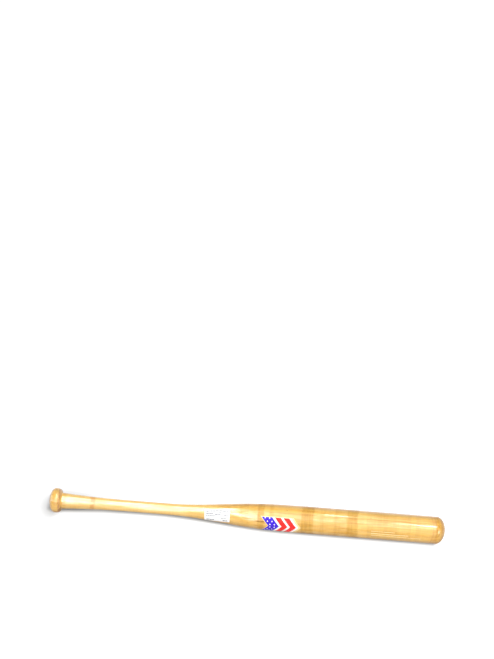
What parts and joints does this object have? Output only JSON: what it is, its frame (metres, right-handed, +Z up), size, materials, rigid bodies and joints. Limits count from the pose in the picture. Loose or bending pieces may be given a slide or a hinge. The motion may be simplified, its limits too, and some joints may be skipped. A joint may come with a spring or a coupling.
{
  "type": "wooden baseball bat",
  "caption": "Wooden bat turned from a glued billet of bamboo strips, with a domed knob, a flared thin handle, a long straight barrel and a rounded tip.",
  "frame": {"origin": "on the surface that the bat lies on, below the middle of its length, halfway between knob and tip", "axes": "+X along the bat's axis, from the knob towards the barrel's tip; +Z up; the bat's decal and label face -Y and up"},
  "size_m": [0.8382, 0.0574, 0.057],
  "materials": {
    "bamboo_honey": "clear gloss lacquer over bamboo",
    "bamboo_amber": "clear gloss lacquer over bamboo",
    "bamboo_straw": "clear gloss lacquer over bamboo",
    "label_paper": "coated white label paper, satin",
    "decal_film": "printed decal under clear lacquer"
  },
  "bodies": {
    "root": {"core_strip_4b": "bamboo_amber", "core_strip_5a": "bamboo_straw", "core_strip_5b": "bamboo_straw", "core_strip_6b": "bamboo_honey", "core_strip_7a": "bamboo_amber", "core_strip_7b": "bamboo_amber", "core_strip_8b": "bamboo_straw", "barrel_strip_1a": "bamboo_amber", "barrel_strip_1b": "bamboo_amber", "barrel_strip_2a": "bamboo_straw", "barrel_strip_2b": "bamboo_straw", "barrel_strip_2c": "bamboo_straw", "barrel_strip_3a": "bamboo_honey", "barrel_strip_3b": "bamboo_honey", "barrel_strip_4a": "bamboo_amber", "barrel_strip_4c": "bamboo_amber", "barrel_strip_6a": "bamboo_honey", "barrel_strip_6c": "bamboo_honey", "barrel_strip_8a": "bamboo_straw", "barrel_strip_8c": "bamboo_straw", "barrel_strip_9a": "bamboo_honey", "barrel_strip_9b": "bamboo_honey", "barrel_strip_10a": "bamboo_amber", "barrel_strip_10b": "bamboo_amber", "barrel_strip_10c": "bamboo_amber", "barrel_strip_11a": "bamboo_straw", "barrel_strip_11b": "bamboo_straw", "knob_strip_1a": "bamboo_amber", "knob_strip_1b": "bamboo_amber", "knob_strip_2a": "bamboo_straw", "knob_strip_2b": "bamboo_straw", "knob_strip_2c": "bamboo_straw", "knob_strip_3a": "bamboo_honey", "knob_strip_3b": "bamboo_honey", "knob_strip_4a": "bamboo_amber", "knob_strip_4c": "bamboo_amber", "knob_strip_6a": "bamboo_honey", "knob_strip_6c": "bamboo_honey", "knob_strip_8a": "bamboo_straw", "knob_strip_8c": "bamboo_straw", "knob_strip_9a": "bamboo_honey", "knob_strip_9b": "bamboo_honey", "knob_strip_10a": "bamboo_amber", "knob_strip_10b": "bamboo_amber", "knob_strip_10c": "bamboo_amber", "knob_strip_11a": "bamboo_straw", "knob_strip_11b": "bamboo_straw", "paper_label": "label_paper", "barrel_decal": "decal_film"}
  },
  "joints": []
}
